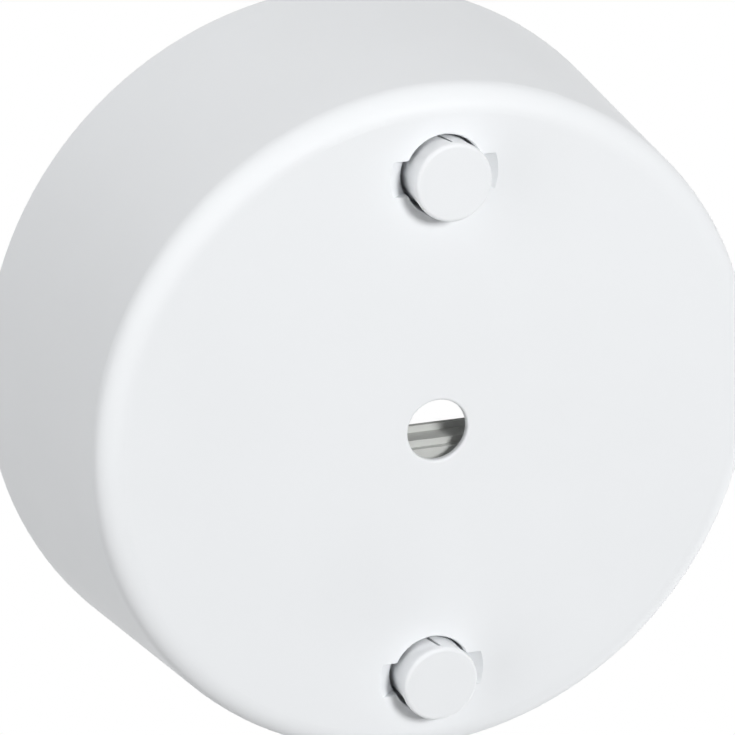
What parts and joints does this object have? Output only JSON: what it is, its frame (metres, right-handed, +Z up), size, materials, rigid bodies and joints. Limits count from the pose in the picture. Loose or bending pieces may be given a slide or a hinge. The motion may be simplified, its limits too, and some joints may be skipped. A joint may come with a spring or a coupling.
{
  "type": "ceiling rose",
  "caption": "White electrical ceiling rose: flared round cover with a cord hole and push-in lock plugs, over a ceiling base with brass terminals and a cord clamp.",
  "frame": {"origin": "middle of the ceiling plane, between the two ceiling screw slots", "axes": "+Z up into the ceiling, Y through the two lock plugs, X through the ceiling screw slots"},
  "size_m": [0.0864, 0.0862, 0.036],
  "materials": {
    "white_plastic": "satin moulded",
    "base_plastic": "satin moulded",
    "block_plastic": "matt moulded",
    "brass": "drawn and sawn",
    "steel": "zinc plated"
  },
  "bodies": {
    "base_assembly": {"base": "base_plastic", "terminal_block": "block_plastic", "live_terminal": "brass", "earth_terminal": "brass", "neutral_terminal": "brass", "terminal_screws": "steel", "block_screws": "steel"},
    "cover_assembly": {"cover": "white_plastic", "cord_clamp": "block_plastic", "cord_clamp_screws": "steel"},
    "upper_plug": {"upper_plug": "white_plastic"},
    "lower_plug": {"lower_plug": "white_plastic"}
  },
  "joints": [
    {"name": "cover_pull", "type": "slide", "parent": "base_assembly", "child": "cover_assembly", "axis": [0, 0, -1], "range_m": [0, 0.035]},
    {"name": "upper_plug_push", "type": "slide", "parent": "cover_assembly", "child": "upper_plug", "axis": [0, 0, 1], "range_m": [0, 0.003]},
    {"name": "lower_plug_push", "type": "slide", "parent": "cover_assembly", "child": "lower_plug", "axis": [0, 0, 1], "range_m": [0, 0.003]}
  ]
}
